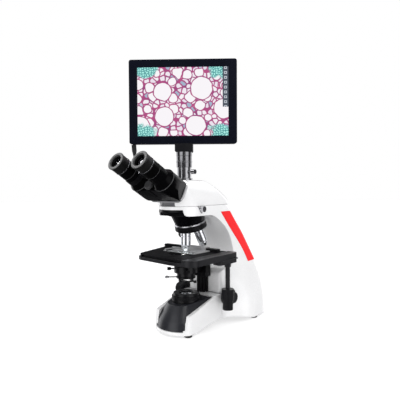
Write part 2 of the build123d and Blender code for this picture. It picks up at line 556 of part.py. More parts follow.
def binocular(side):
    """One tube housing, its eyepiece tube, eyepiece, eyecup and eye lens."""
    frame = bino_frame()
    tube_angle = degrees(atan2(HINGE_DROP, HALF_IPD))
    tube = Pos(HALF_IPD, 0, 0)
    hinge = Pos(0, -HINGE_DROP, 0)
    hull = make_hull([(tube * Circle(HOUSING_RADIUS)).edge(), (hinge * Circle(HINGE_RADIUS - 1.3)).edge()])
    body = Pos(0, 0, HOUSING_END) * extrude(hull, amount=-76 - HOUSING_END)
    # The flank beside the other tube leaves room to close the tubes together
    wedge = hinge * Rot(0, 0, tube_angle + 42) * Pos(0, 100, 0) * Box(200, 200, 300)
    body -= wedge
    body += tube * turned((0, HOUSING_END), (HOUSING_RADIUS, HOUSING_END), (HOUSING_RADIUS, HOUSING_START),
                          (TUBE_RADIUS + 0.3, SHOULDER), (0, SHOULDER))
    body -= wedge
    # The two barrels on the hinge sit one behind the other
    own, other = ((HOUSING_END, -101.8), (-101.4, -75.8)) if side > 0 else ((-101.4, -75.8), (HOUSING_END, -101.8))
    body -= hinge * ring(HINGE_RADIUS + 0.4, 0, other[0] - 0.5, other[1] + 0.5)
    body += hinge * ring(HINGE_RADIUS, 0, own[0], own[1])
    body -= hinge * ring(5 + FIT, 0, -140, -60)
    body -= tube * ring(TUBE_RADIUS - 3, 0, -118, -60)
    # Outer flanks taper towards the head
    taper = prism_z([(57.6, -96), (44.5, -127.5), (44.5, -140), (90, -140), (90, -96)], -60, 60)
    body -= Rot(90, 0, 0) * mirror(taper, Plane.XY)
    body -= prism_x([(-25, -86), (-19.5, -127), (-19.5, -140), (-60, -140), (-60, -86)], -90, 90)
    body += tube * turned((15.2, -70), (TUBE_RADIUS, -70), (TUBE_RADIUS, -40.2), (15.2, -40.2))
    eyepiece = tube * turned((11, -62), (15.15, -62), (15.15, -40), (18.1, -40), (18.1, -21), (18.7, -20.8),
                             (18.7, -19.4), (13.5, -19.4), (13.5, -9), (11, -9))
    cup = tube * turned((13.6, -19.3), (18.2, -19.3), (18.6, -4), (19.3, -2.5), (19.3, -0.8), (18.4, 0), (14, 0),
                        (12.2, -2.5), (12.2, -8.8), (13.6, -8.8))
    lens = tube * turned((0, -12), (11, -12), (11, -9.2), (6, -7.6), (0, -7.2))
    names = ["binocular_housing", "eyepiece", "eyecup", "eye_lens"]
    word = "_right" if side > 0 else "_left"
    made = {}
    for name, shape in zip(names, [body, eyepiece, cup, lens]):
        if side < 0:
            shape = mirror(shape, Plane.YZ)
        made[name + word] = frame * shape
    if side < 0:
        dial = mirror(tube * knurled(19.6, TUBE_RADIUS + FIT, -62.5, -51, 30, 0.6), Plane.YZ)
        made["diopter_ring"] = frame * dial
    return made


def photo_port():
    """Photo tube on the dome and the adapter that holds the screen."""
    tube = turned((12, HEAD_TOP_Z), (18, HEAD_TOP_Z), (18, 332), (17, 333), (15.15, 333), (15.15, 356), (12, 356))
    tube -= bar_x(2 + FIT, 5, 30, 0, 346)
    screw = bar_x(2, 12.1, 22, 0, 346) + bar_x(5, 22, 31, 0, 346)
    adapter = turned((9, 340), (12 - FIT, 340), (12 - FIT, 356.3), (16.7, 356.3), (16.7, 366.5), (17.3, 367),
                     (17.3, 369), (16.7, 369.5), (16.7, 380), (16.3, 380.3), (17.1, 380.7), (17.1, 389), (9, 389))
    made = {"photo_tube": tube, "photo_tube_screw": screw, "camera_adapter": adapter}
    return {name: Pos(0, PORT_Y, 0) * shape for name, shape in made.items()}


def screen():
    """Screen unit, drawn facing the user and then turned about the photo tube."""
    x0, x1 = SCREEN_X - SCREEN_W / 2, SCREEN_X + SCREEN_W / 2
    z0, z1 = SCREEN_CENTRE_Z - SCREEN_H / 2, SCREEN_CENTRE_Z + SCREEN_H / 2
    centre = Plane(origin=(SCREEN_X, SCREEN_FACE_Y, SCREEN_CENTRE_Z), x_dir=(1, 0, 0), z_dir=(0, -1, 0))
    outer = RectangleRounded(SCREEN_W, SCREEN_H, 5)
    bezel = centre * Pos(0, 0, -8) * extrude(outer, amount=8)
    bezel -= centre * Pos(0, 0, -1.2) * extrude(RectangleRounded(DISPLAY_W, DISPLAY_H, 0.6), amount=3)
    bezel -= centre * Pos(0, 0, -9) * extrude(Rectangle(DISPLAY_W + 6, DISPLAY_H + 6), amount=7.8)
    panel = centre * Pos(0, 0, -6) * extrude(Rectangle(DISPLAY_W + 5.4, DISPLAY_H + 5.4), amount=4.78)
    shell = centre * Pos(0, 0, -SCREEN_THICK) * extrude(RectangleRounded(SCREEN_W - 1, SCREEN_H - 1, 6), amount=SCREEN_THICK - 8.1)
    shell = fillet(shell.faces().sort_by(Axis.Y)[-1].edges(), 5)
    shell -= centre * Pos(0, 0, -SCREEN_THICK + 3) * extrude(RectangleRounded(SCREEN_W - 7, SCREEN_H - 7, 3), amount=40)
    for i in range(9):
        x = SCREEN_X - 50 + 12 * i
        shell -= block(x, x + 4, 15, 40, SCREEN_CENTRE_Z + 33, SCREEN_CENTRE_Z + 57)
    board = centre * Pos(0, 0, -14) * extrude(Rectangle(150, 100), amount=1.6)
    for x in (-60, 60):
        for z in (-40, 40):
            board += centre * Pos(x, z, -SCREEN_THICK + 3) * extrude(Circle(3), amount=10)
    half = BLOCK_WIDE / 2
    body = block(-half, half, -14, 20, 389, SCREEN_BOTTOM_Z)
    body -= block(-half + 3, half - 3, -11, 17, 392, 410)
    body = chamfer(body.edges().filter_by(Axis.Y).group_by(Axis.Z)[0], 2)
    body -= ring(8.7, 0, 380, 395)
    sensor = block(-15, 15, -10.9, 15, 392, 393.6) + block(-5, 5, -5, 5, 393.6, 395)
    antenna = turned((0, 378.5), (2.6, 378.5), (3, 380), (4.6, 391), (5.2, 392.5), (5.2, SCREEN_BOTTOM_Z - 0.2), (0, SCREEN_BOTTOM_Z - 0.2))
    antenna = Pos(SCREEN_X - 109.5, 8, SCREEN_BOTTOM_Z) * Rot(0, -4, 0) * Pos(0, 0, -SCREEN_BOTTOM_Z) * antenna
    made = {"screen_bezel": bezel, "display_panel": panel, "screen_back_shell": shell,
            "screen_electronics": [board, sensor], "camera_block": body, "screen_antenna": antenna}
    turn = Pos(0, PORT_Y, 0) * Rot(0, 0, SCREEN_TURN)
    return {name: [turn * p for p in shape] if isinstance(shape, list) else turn * shape
            for name, shape in made.items()}


casting = stand_casting()
parts["stand_casting"] = casting
parts["side_stripes"] = [stripe(1), stripe(-1)]
parts["nose_cover"] = nose_cover()
parts.update(lamp())
parts.update(base_fittings())
parts.update(focus())
parts.update(stage())
parts.update(condenser())
parts.update(nosepiece(casting))
parts.update(head())
parts.update(binocular(1))
parts.update(binocular(-1))
parts.update(photo_port())
parts.update(screen())

os.makedirs("parts", exist_ok=True)
for node, shape in parts.items():
    pieces = shape if isinstance(shape, list) else [shape]
    solids = [solid for piece in pieces for solid in piece.solids()]
    export_step(solids[0] if len(solids) == 1 else Compound(children=solids), "parts/" + node + ".step")
print(len(parts), "nodes")
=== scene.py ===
# %% [markdown]
# # Finishing a trinocular microscope with a screen
# The imported CAD model gives every solid at its true size and place. This lesson adds what a solid
# can't say: soft broken edges, the small trim, and a finish for each surface. It starts with the frame.

# %% Load the frame
import json
from math import cos, pi, radians, sin

import bmesh
import bpy
from mathutils import Matrix, Vector


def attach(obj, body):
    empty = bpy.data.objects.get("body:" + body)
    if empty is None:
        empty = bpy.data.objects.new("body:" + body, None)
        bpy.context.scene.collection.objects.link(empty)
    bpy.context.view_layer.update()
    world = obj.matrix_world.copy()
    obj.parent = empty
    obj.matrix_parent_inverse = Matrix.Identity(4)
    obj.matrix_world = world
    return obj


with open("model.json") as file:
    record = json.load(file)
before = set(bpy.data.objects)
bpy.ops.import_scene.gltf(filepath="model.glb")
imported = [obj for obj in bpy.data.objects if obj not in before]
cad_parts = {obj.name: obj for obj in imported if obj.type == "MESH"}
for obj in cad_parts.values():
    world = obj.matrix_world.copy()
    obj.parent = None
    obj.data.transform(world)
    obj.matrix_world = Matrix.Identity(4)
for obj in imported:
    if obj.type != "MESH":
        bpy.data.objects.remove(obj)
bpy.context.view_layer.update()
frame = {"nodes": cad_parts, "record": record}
MM = 0.001
print("CAD nodes:", len(frame["nodes"]))

# %% [markdown]
# The camera stands where the photograph was taken from: 41 degrees round to the right, just below
# the screen, and it looks a little downwards. Its lens and distance follow from the standard sizes
# of a slide, an eyepiece and a display, so it isn't aimed by eye.

# %% Camera
CAMERA_PLACE = (0.6103, -0.7020, 0.3149)
CAMERA_HEADING = radians(39.04)
CAMERA_PITCH = radians(1.865)
CAMERA_ROLL = radians(-0.3)
LENS_MM = 38.15
SENSOR_MM = 36.0
NEAR_CLIP = 0.01
FAR_CLIP = 60.0

eye = bpy.data.cameras.new("camera")
eye.lens = LENS_MM
eye.sensor_width = SENSOR_MM
eye.clip_start = NEAR_CLIP
eye.clip_end = FAR_CLIP
camera = bpy.data.objects.new("camera", eye)
bpy.context.scene.collection.objects.link(camera)
camera.matrix_world = (
    Matrix.Translation(CAMERA_PLACE) @ Matrix.Rotation(CAMERA_HEADING, 4, "Z")
    @ Matrix.Rotation(pi / 2 - CAMERA_PITCH, 4, "X") @ Matrix.Rotation(CAMERA_ROLL, 4, "Z"))
bpy.context.scene.camera = camera
print("camera at", CAMERA_PLACE)

# %% [markdown]
# Light and finish are both node trees, and Python adds their nodes one at a time. A few helpers keep
# that short: one feeds a socket with a link or a value, and the others do the sums, ramps and mixes
# that every mask below is made of.

# %% Node helpers
MIX_INPUTS = (0, 6, 7)
MIX_RESULT = 2


def feed(tree, socket, value):
    """Gives a socket a link, a colour or a plain value."""
    if isinstance(value, bpy.types.NodeSocket):
        tree.links.new(value, socket)
    elif socket.type == "RGBA":
        socket.default_value = (*value, 1)
    else:
        socket.default_value = value


def add(tree, kind, **values):
    """A node of one kind. A name is one of its settings or else one of its sockets."""
    node = tree.nodes.new(kind)
    for name, value in values.items():
        if hasattr(node, name):
            setattr(node, name, value)
        else:
            feed(tree, node.inputs[name], value)
    return node


def calc(tree, operation, *values):
    """The result of a Math node."""
    node = add(tree, "ShaderNodeMath", operation=operation)
    for socket, value in zip(node.inputs, values):
        feed(tree, socket, value)
    return node.outputs[0]


def vector_calc(tree, operation, *values, **sockets):
    """A Vector Math node, whose result is its Value for a dot product and its Vector otherwise."""
    node = add(tree, "ShaderNodeVectorMath", operation=operation, **sockets)
    for socket, value in zip(node.inputs, values):
        feed(tree, socket, value)
    return node.outputs["Value" if operation == "DOT_PRODUCT" else "Vector"]


def spread(tree, value, low, high, to_low=0.0, to_high=1.0):
    """A smooth ramp from to_low at low to to_high at high."""
    node = add(tree, "ShaderNodeMapRange", interpolation_type="SMOOTHSTEP")
    for socket, part in zip(node.inputs, (value, low, high, to_low, to_high)):
        feed(tree, socket, part)
    return node.outputs[0]


def mix(tree, share, first, second):
    """The first colour where share is 0, and the second where it is 1."""
    node = add(tree, "ShaderNodeMix", data_type="RGBA")
    for number, part in zip(MIX_INPUTS, (share, first, second)):
        feed(tree, node.inputs[number], part)
    return node.outputs[MIX_RESULT]


def coordinate(tree, kind):
    """One output of a Texture Coordinate node."""
    return add(tree, "ShaderNodeTexCoord").outputs[kind]


def axis_of(tree, vector, axis):
    """The X, Y or Z of a vector."""
    return add(tree, "ShaderNodeSeparateXYZ", Vector=vector).outputs[axis]


def new_material(name):
    """A material, with its node tree and its Principled shader."""
    made = bpy.data.materials.new(name)
    made.use_nodes = True
    return made, made.node_tree, made.node_tree.nodes["Principled BSDF"]


def settle(tree, shader, values):
    """Feeds the shader's sockets from a dictionary of labels."""
    for label, value in values.items():
        feed(tree, shader.inputs[label], value)


print("node helpers ready")

# %% [markdown]
# A white studio is mostly its sky. Matt surfaces are lit by a soft white dome, which is dimmer behind
# the microscope, so that the far edges of the white enamel show against the paper. Chrome and black
# enamel need something to mirror, so glossy rays meet a dark dome with four bright upright panels.
# The camera's own rays see plain white. A Light Path node tells these rays apart, which costs less
# than hanging real panels and leaves them out of every view.

# %% Sky
SKY_LOW = (0.88, 0.88, 0.89)
SKY_HIGH = (1.10, 1.10, 1.10)
SKY_BEHIND = (0.66, 0.66, 0.67)
MIRROR_LOW = (0.09, 0.09, 0.095)
MIRROR_HIGH = (0.42, 0.42, 0.43)
PANEL_LIGHT = (1.35, 1.35, 1.38)
PAPER_WHITE = (1.0, 1.0, 1.0)
PANEL_COUNT = 4.0
FIRST_PANEL = radians(-4)
DOME_RISE = (-0.2, 0.9)
MIRROR_RISE = (0.35, 1.0)
BACK_TO_FRONT = (-1.0, 0.3)
PANEL_SIDES = (-0.25, 0.45)
PANEL_HEAD = (0.75, 0.55)
PANEL_FOOT = (-0.45, -0.25)


def lit_sky(tree, direction, height):
    """The dome that lights matt surfaces."""
    dome = mix(tree, spread(tree, height, *DOME_RISE), SKY_LOW, SKY_HIGH)
    camera_side = Vector((CAMERA_PLACE[0], CAMERA_PLACE[1], 0)).normalized()
    toward = vector_calc(tree, "DOT_PRODUCT", direction, camera_side)
    return mix(tree, spread(tree, toward, *BACK_TO_FRONT), SKY_BEHIND, dome)


def mirrored_sky(tree, direction, height):
    """The dark dome with bright panels that glossy surfaces mirror."""
    dome = mix(tree, spread(tree, height, *MIRROR_RISE), MIRROR_LOW, MIRROR_HIGH)
    bearing = calc(tree, "ARCTAN2", axis_of(tree, direction, "Y"), axis_of(tree, direction, "X"))
    turn = calc(tree, "MULTIPLY", calc(tree, "SUBTRACT", bearing, FIRST_PANEL), PANEL_COUNT)
    panels = spread(tree, calc(tree, "COSINE", turn), *PANEL_SIDES)
    for ends in (PANEL_HEAD, PANEL_FOOT):
        panels = calc(tree, "MULTIPLY", panels, spread(tree, height, *ends))
    return mix(tree, panels, dome, PANEL_LIGHT)


def make_sky():
    """The world, with a sky for each kind of ray."""
    world = bpy.data.worlds.new("studio")
    bpy.context.scene.world = world
    world.use_nodes = True
    tree = world.node_tree
    tree.nodes.clear()
    direction = coordinate(tree, "Generated")
    height = axis_of(tree, direction, "Z")
    path = add(tree, "ShaderNodeLightPath")
    shown = mix(tree, path.outputs["Is Glossy Ray"], lit_sky(tree, direction, height),
                mirrored_sky(tree, direction, height))
    shown = mix(tree, path.outputs["Is Camera Ray"], shown, PAPER_WHITE)
    back = add(tree, "ShaderNodeBackground", Color=shown, Strength=1.0)
    add(tree, "ShaderNodeOutputWorld", Surface=back.outputs[0])
    return world


print("sky:", make_sky().name)

# %% [markdown]
# The floor is a wide disc of pale paper. It glows a little, so that it meets the white sky without a
# line and still takes a soft shadow, and it is hidden from mirrors, which see the dark dome instead.

# %% Floor
FLOOR_RADIUS = 8
FLOOR_SEGMENTS = 64
FLOOR_GREY = (0.60, 0.60, 0.60)
FLOOR_ROUGH = 0.8
FLOOR_GLOW = 0.62


def lay_floor():
    """The paper floor, which isn't part of the microscope."""
    bm = bmesh.new()
    bmesh.ops.create_circle(bm, cap_ends=True, segments=FLOOR_SEGMENTS, radius=FLOOR_RADIUS)
    mesh = bpy.data.meshes.new("floor")
    bm.to_mesh(mesh)
    bm.free()
    floor = bpy.data.objects.new("floor", mesh)
    bpy.context.scene.collection.objects.link(floor)
    paper, tree, shader = new_material("floor_paper")
    settle(tree, shader, {"Base Color": FLOOR_GREY, "Roughness": FLOOR_ROUGH,
                          "Emission Color": PAPER_WHITE, "Emission Strength": FLOOR_GLOW})
    mesh.materials.append(paper)
    floor.visible_glossy = False
    return floor


print("floor:", lay_floor().name)

# %% [markdown]
# Three soft boxes give the light a direction: the key from the front right, a small one that glances
# along the left side, and a wide one behind that draws the top edges. Each one is named with its
# place, width and height in metres, and its power in watts.

# %% Soft boxes
LIGHT_TARGET = Vector((0, 0, 0.3))
SOFT_BOXES = {
    "key_box": ((1.5, -1.0, 1.3), 0.5, 1.5, 5.0),
    "side_box": ((-1.05, -0.60, 1.28), 0.3, 0.35, 3.0),
    "back_box": ((-0.3, 1.6, 1.3), 1.4, 0.8, 3.0),
}


def hang_box(name, place, width, height, power):
    """A soft box that faces the middle of the microscope."""
    lamp = bpy.data.lights.new(name, "AREA")
    lamp.shape = "RECTANGLE"
    lamp.size = width
    lamp.size_y = height
    lamp.energy = power
    box = bpy.data.objects.new(name, lamp)
    bpy.context.scene.collection.objects.link(box)
    aim = (LIGHT_TARGET - Vector(place)).to_track_quat("-Z", "Y")
    box.matrix_world = Matrix.Translation(place) @ aim.to_matrix().to_4x4()


for name, row in SOFT_BOXES.items():
    hang_box(name, *row)
bpy.context.scene.view_settings.view_transform = "Standard"
print("soft boxes:", len(SOFT_BOXES))

# %% [markdown]
# Real castings, mouldings and turned parts have broken edges that catch a line of light. Each CAD
# node keeps its mesh, and modifiers finish it: a weld joins the loose triangles, a planar dissolve
# clears the seams between them, and a bevel rounds every edge that is sharper than the limit. The
# weighted normals keep flat faces flat beside the rounded edges.

# %% Broken edges
WELD_REACH = 0.004 * MM
FLAT_LIMIT = radians(0.6)
SHARP_DEGREES = 32
BEVEL_SEGMENTS = 2
NORMAL_WEIGHT = 60


def soften(obj, width):
    """Rounds the sharp edges of a CAD node by width millimetres, or only smooths it where that is 0."""
    weld = obj.modifiers.new("weld", "WELD")
    weld.merge_threshold = WELD_REACH
    flat = obj.modifiers.new("flat", "DECIMATE")
    flat.decimate_type = "DISSOLVE"
    flat.angle_limit = FLAT_LIMIT
    if width > 0:
        bevel = obj.modifiers.new("edges", "BEVEL")
        bevel.width = width * MM
        bevel.segments = BEVEL_SEGMENTS
        bevel.limit_method = "ANGLE"
        bevel.angle_limit = radians(SHARP_DEGREES)
        bevel.harden_normals = False
        bevel.use_clamp_overlap = False
        bevel.miter_outer = "MITER_SHARP"
    even = obj.modifiers.new("even", "WEIGHTED_NORMAL")
    even.weight = NORMAL_WEIGHT
    even.keep_sharp = False
    for face in obj.data.polygons:
        face.use_smooth = True


print("edges sharper than", SHARP_DEGREES, "degrees get a bevel")

# %% [markdown]
# Two effects are shared by the finishes, so each is a shader group that is built once. Surface grain
# is the fine unevenness of paint, rubber or moulded plastic, with slow patches of tone. Dust lies in
# clouds on faces that look up. Both read Object coordinates, so they stay put when a part moves.

# %% Shared effects
PATCH_SCALE = 28.0
CLOUD_SCALE = 90.0
BUMP_DISTANCE = 0.3 * MM
PATCH_RANGE = (0.3, 0.7)
SPECKLE_RANGE = (0.35, 0.7)
CLOUD_RANGE = (0.35, 0.75)
LEVEL_RANGE = (0.5, 1.0)


def new_group(name, inputs, outputs):
    """An empty shader group, with number inputs and outputs of the kinds given."""
    tree = bpy.data.node_groups.new(name, "ShaderNodeTree")
    for label, value in inputs.items():
        socket = tree.interface.new_socket(label, in_out="INPUT", socket_type="NodeSocketFloat")
        socket.default_value = value
    for label, kind in outputs.items():
        tree.interface.new_socket(label, in_out="OUTPUT", socket_type=kind)
    return tree, tree.nodes.new("NodeGroupInput"), tree.nodes.new("NodeGroupOutput")


def grain_group():
    """Fine bumps, slow patches and a speckle of gloss."""
    tree, given, result = new_group(
        "surface_grain", {"Fineness": 2500.0, "Depth": 0.1},
        {"Normal": "NodeSocketVector", "Patches": "NodeSocketFloat", "Speckle": "NodeSocketFloat"})
    place = coordinate(tree, "Object")
    fine = add(tree, "ShaderNodeTexNoise", Vector=place, Scale=given.outputs["Fineness"], Detail=3.0)
    slow = add(tree, "ShaderNodeTexNoise", Vector=place, Scale=PATCH_SCALE, Detail=4.0)
    bump = add(tree, "ShaderNodeBump", Strength=given.outputs["Depth"], Distance=BUMP_DISTANCE,
               Height=fine.outputs["Fac"])
    feed(tree, result.inputs["Normal"], bump.outputs[0])
    feed(tree, result.inputs["Patches"], spread(tree, slow.outputs["Fac"], *PATCH_RANGE))
    feed(tree, result.inputs["Speckle"], spread(tree, fine.outputs["Fac"], *SPECKLE_RANGE))
    return tree


def dust_group():
    """A thin film of dust on faces that look up."""
    tree, given, result = new_group("dust_film", {"Amount": 0.1}, {"Film": "NodeSocketFloat"})
    cloud = add(tree, "ShaderNodeTexNoise", Vector=coordinate(tree, "Object"), Scale=CLOUD_SCALE, Detail=5.0)
    up = axis_of(tree, add(tree, "ShaderNodeNewGeometry").outputs["Normal"], "Z")
    clouds = spread(tree, cloud.outputs["Fac"], *CLOUD_RANGE)
    film = calc(tree, "MULTIPLY", spread(tree, up, *LEVEL_RANGE), clouds)
    feed(tree, result.inputs["Film"], calc(tree, "MULTIPLY", film, given.outputs["Amount"]))
    return tree


GRAIN = grain_group()
DUST = dust_group()


def effect(tree, group, **values):
    """Places one shared effect in a material."""
    node = add(tree, "ShaderNodeGroup", node_tree=group)
    for name, value in values.items():
        feed(tree, node.inputs[name], value)
    return node


print("groups:", GRAIN.name, DUST.name)

# %% [markdown]
# Most of the instrument is enamel, anodised metal, moulded plastic or rubber. They differ in colour,
# gloss, grain and dust, so one function builds them all. Its colour wanders between a new and a worn
# tone, and its roughness follows the grain. The gloss comes from the shader's own roughness, coat and
# specular level, and so do the darker edges of the thickly coated enamel.

# %% How a finish is made
DUST_GREY = (0.45, 0.45, 0.44)
DUST_ROUGH = 0.5
SPECKLE_GLOSS = (0.88, 1.15)
COAT_ROUGH = 0.12


def finish_material(name, colour, worn, rough, metal=0.0, coat=0.0, fineness=2500, depth=0.10, dust=0.0,
                    specular=0.22):
    """A finish with grain, patches of tone and a film of dust."""
    made, tree, shader = new_material(name)
    grain = effect(tree, GRAIN, Fineness=fineness, Depth=depth)
    film = effect(tree, DUST, Amount=dust).outputs["Film"]
    toned = mix(tree, grain.outputs["Patches"], colour, worn)
    gloss = spread(tree, grain.outputs["Speckle"], 0.0, 1.0, *[rough * share for share in SPECKLE_GLOSS])
    settle(tree, shader, {
        "Base Color": mix(tree, film, toned, DUST_GREY),
        "Roughness": calc(tree, "ADD", gloss, calc(tree, "MULTIPLY", film, DUST_ROUGH)),
        "Normal": grain.outputs["Normal"],
        "Metallic": metal,
        "Coat Weight": coat,
        "Coat Roughness": COAT_ROUGH,
        "Specular IOR Level": specular,
    })
    return made


print("a finish has patches, speckle and dust")

# %% [markdown]
# This table names each finish by what it covers. The photograph is a hard one, with blacks that are
# almost empty, so the black paints here are darker than real paint and mirror little. The polished
# barrels and the photo tube are metals, which mirror the bright panels of the sky.

# %% Paint, plastic, rubber and metal
BLACK = (0.003, 0.003, 0.004)
SOOT = (0.005, 0.005, 0.006)
FINISHES = {
    "enamel_white": dict(colour=(0.89, 0.89, 0.895), worn=(0.865, 0.865, 0.87), rough=0.28, coat=1.0,
                         fineness=900, depth=0.035, dust=0.02, specular=0.5),
    "stripe_red": dict(colour=(0.90, 0.022, 0.026), worn=(0.86, 0.018, 0.022), rough=0.55,
                       fineness=1500, depth=0.03, specular=0.12),
    "cover_black": dict(colour=(0.010, 0.011, 0.015), worn=(0.014, 0.015, 0.020), rough=0.36, coat=0.1,
                        fineness=1800, depth=0.04, dust=0.03, specular=0.5),
    "satin_black": dict(colour=BLACK, worn=SOOT, rough=0.33, coat=0.1, fineness=3000, dust=0.05),
    "knurled_black": dict(colour=BLACK, worn=SOOT, rough=0.36, fineness=3500, dust=0.04),
    "plate_grey": dict(colour=(0.20, 0.20, 0.21), worn=(0.17, 0.17, 0.18), rough=0.5),
    "rubber_black": dict(colour=(0.022, 0.022, 0.022), worn=(0.030, 0.030, 0.030), rough=0.75,
                         fineness=1800, depth=0.25, dust=0.05),
    "socket_black": dict(colour=BLACK, worn=SOOT, rough=0.55, depth=0.12),
    "switch_black": dict(colour=BLACK, worn=SOOT, rough=0.3, coat=0.2, depth=0.05),
    "knob_black": dict(colour=(0.005, 0.005, 0.006), worn=(0.008, 0.008, 0.010), rough=0.36,
                       fineness=2800, depth=0.14, dust=0.04),
    "fine_knob_black": dict(colour=(0.006, 0.006, 0.007), worn=(0.009, 0.009, 0.011), rough=0.38,
                            fineness=2800, depth=0.14, dust=0.04),
    "slide_black": dict(colour=BLACK, worn=SOOT, rough=0.34, fineness=2800, dust=0.04),
    "stage_black": dict(colour=(0.010, 0.010, 0.012), worn=(0.015, 0.015, 0.017), rough=0.36,
                        fineness=2600, depth=0.12, dust=0.02, specular=0.25),
    "stage_top_black": dict(colour=(0.005, 0.005, 0.006), worn=(0.008, 0.008, 0.009), rough=0.50,
                            fineness=2600, depth=0.14, dust=0.02, specular=0.04),
    "condenser_black": dict(colour=BLACK, worn=SOOT, rough=0.32, coat=0.1, fineness=3000, depth=0.08,
                            dust=0.03),
    "iris_black": dict(colour=BLACK, worn=SOOT, rough=0.34, fineness=3000, depth=0.08, dust=0.03),
    "nosepiece_black": dict(colour=(0.002, 0.002, 0.0025), worn=(0.003, 0.003, 0.004), rough=0.24,
                            fineness=2200, depth=0.04, dust=0.01, specular=0.2),
    "turret_black": dict(colour=BLACK, worn=SOOT, rough=0.30, coat=0.1, fineness=2600, depth=0.06, dust=0.02),
    "objective_black": dict(colour=BLACK, worn=SOOT, rough=0.30, fineness=2600, depth=0.06),
    "flange_grey": dict(colour=(0.24, 0.24, 0.25), worn=(0.20, 0.20, 0.21), rough=0.40,
                        fineness=2600, dust=0.02, specular=0.5),
    # dial_grey is lighter than the blacks round it; on the housing lips of the tubes it is a painted
    # highlight.
    "dial_grey": dict(colour=(0.050, 0.050, 0.052), worn=(0.040, 0.040, 0.042), rough=0.30,
                      fineness=2600, depth=0.08, dust=0.02, specular=0.5),
    "binocular_black": dict(colour=(0.001, 0.001, 0.0012), worn=(0.0015, 0.0015, 0.0018), rough=0.24,
                            fineness=2200, depth=0.05, dust=0.005, specular=0.06),
    "eyepiece_black": dict(colour=(0.001, 0.001, 0.001), worn=(0.0015, 0.0015, 0.0015), rough=0.26,
                           fineness=2600, depth=0.06, dust=0.005, specular=0.06),
    "eyecup_rubber": dict(colour=(0.004, 0.004, 0.004), worn=(0.006, 0.006, 0.006), rough=0.36,
                          fineness=1600, depth=0.22, dust=0.01, specular=0.3),
    "tube_black": dict(colour=(0.44, 0.44, 0.45), worn=(0.38, 0.38, 0.39), rough=0.14, metal=1,
                       fineness=2600, depth=0.04, specular=0.5),
    "adapter_black": dict(colour=(0.30, 0.30, 0.31), worn=(0.24, 0.24, 0.25), rough=0.14, metal=1,
                          fineness=2600, depth=0.06, specular=0.5),
    "block_black": dict(colour=(0.007, 0.007, 0.009), worn=(0.011, 0.011, 0.013), rough=0.34,
                        fineness=2600, dust=0.04),
    "bezel_black": dict(colour=(0.003, 0.004, 0.009), worn=(0.004, 0.005, 0.011), rough=0.14, coat=0.1,
                        fineness=1500, depth=0.02, dust=0.01, specular=0.25),
    "shell_black": dict(colour=(0.013, 0.013, 0.017), worn=(0.019, 0.019, 0.024), rough=0.42,
                        fineness=2200, depth=0.18, dust=0.05),
    "circuit_green": dict(colour=(0.020, 0.16, 0.07), worn=(0.03, 0.20, 0.09), rough=0.4, coat=0.2,
                          fineness=1500),
    "antenna_black": dict(colour=(0.020, 0.020, 0.021), worn=(0.028, 0.028, 0.030), rough=0.5,
                          fineness=2200, depth=0.16, dust=0.02),
    "bare_aluminium": dict(colour=(0.60, 0.60, 0.62), worn=(0.52, 0.52, 0.54), rough=0.35, metal=1,
                           fineness=1800, depth=0.12),
    "shaft_steel": dict(colour=(0.58, 0.58, 0.60), worn=(0.50, 0.50, 0.52), rough=0.25, metal=1,
                        fineness=1800),
    "holder_steel": dict(colour=(0.58, 0.58, 0.59), worn=(0.50, 0.50, 0.51), rough=0.34, metal=0.35,
                         fineness=2600, dust=0.02),
    "screw_chrome": dict(colour=(0.56, 0.56, 0.58), worn=(0.50, 0.50, 0.52), rough=0.12, metal=1,
                         fineness=1800, depth=0.05),
    "objective_chrome": dict(colour=(0.90, 0.91, 0.94), worn=(0.84, 0.85, 0.88), rough=0.18, metal=1,
                             fineness=1800, depth=0.05),
}
materials = {name: finish_material(name, **row) for name, row in FINISHES.items()}
print("finishes:", len(materials))

# %% [markdown]
# Two finishes get a painted highlight as their second tone. The face of a rubber eyecup that the
# user's eye touches is painted a lighter grey for the light that this flat face catches, and the flange
# under the head is painted lighter above a line, where light falls on its upper part. Both are found
# from the surface itself, from its normal or its height, so they are the same from every side.

# %% Painted highlights
EYE_SIDE = (0.0, -0.866, 0.5)
EYE_FACE = (0.25, 0.8)
# The lighter grey painted on the eyecup's face is a painted highlight.
PAINTED_RIM_HIGHLIGHT = (0.085, 0.085, 0.085)
FLANGE_LINE = 286.4 * MM
# The lighter grey above the flange's line is a painted highlight.
FLANGE_PAINTED_HIGHLIGHT = (0.42, 0.42, 0.43)


def rim_highlight_faces(tree):
    """1 on faces that look along the tube at the user, where the eyecup's highlight is painted."""
    facing = vector_calc(tree, "DOT_PRODUCT", coordinate(tree, "Normal"), EYE_SIDE)
    return spread(tree, facing, *EYE_FACE)


def highlight_above_line(tree):
    """1 above the flange's line, where its highlight is painted."""
    return calc(tree, "GREATER_THAN", axis_of(tree, coordinate(tree, "Object"), "Z"), FLANGE_LINE)


def paint_highlight_where(name, find, colour):
    """Mixes a painted highlight colour into a finish where find gives 1."""
    tree = materials[name].node_tree
    base = tree.nodes["Principled BSDF"].inputs["Base Color"]
    feed(tree, base, mix(tree, find(tree), base.links[0].from_socket, colour))


# Both second tones are painted highlights.
paint_highlight_where("eyecup_rubber", rim_highlight_faces, PAINTED_RIM_HIGHLIGHT)
paint_highlight_where("flange_grey", highlight_above_line, FLANGE_PAINTED_HIGHLIGHT)
print("second tones: eyecup_rubber, flange_grey")

# %% [markdown]
# Optical glass is clear, with a faint tint, and a thin slide is nearly colourless and a little milky.
# The condenser's lenses glow a little, because the lamp below shines into them, and light that has to
# find its way up through glass takes far more samples to render than it is worth.

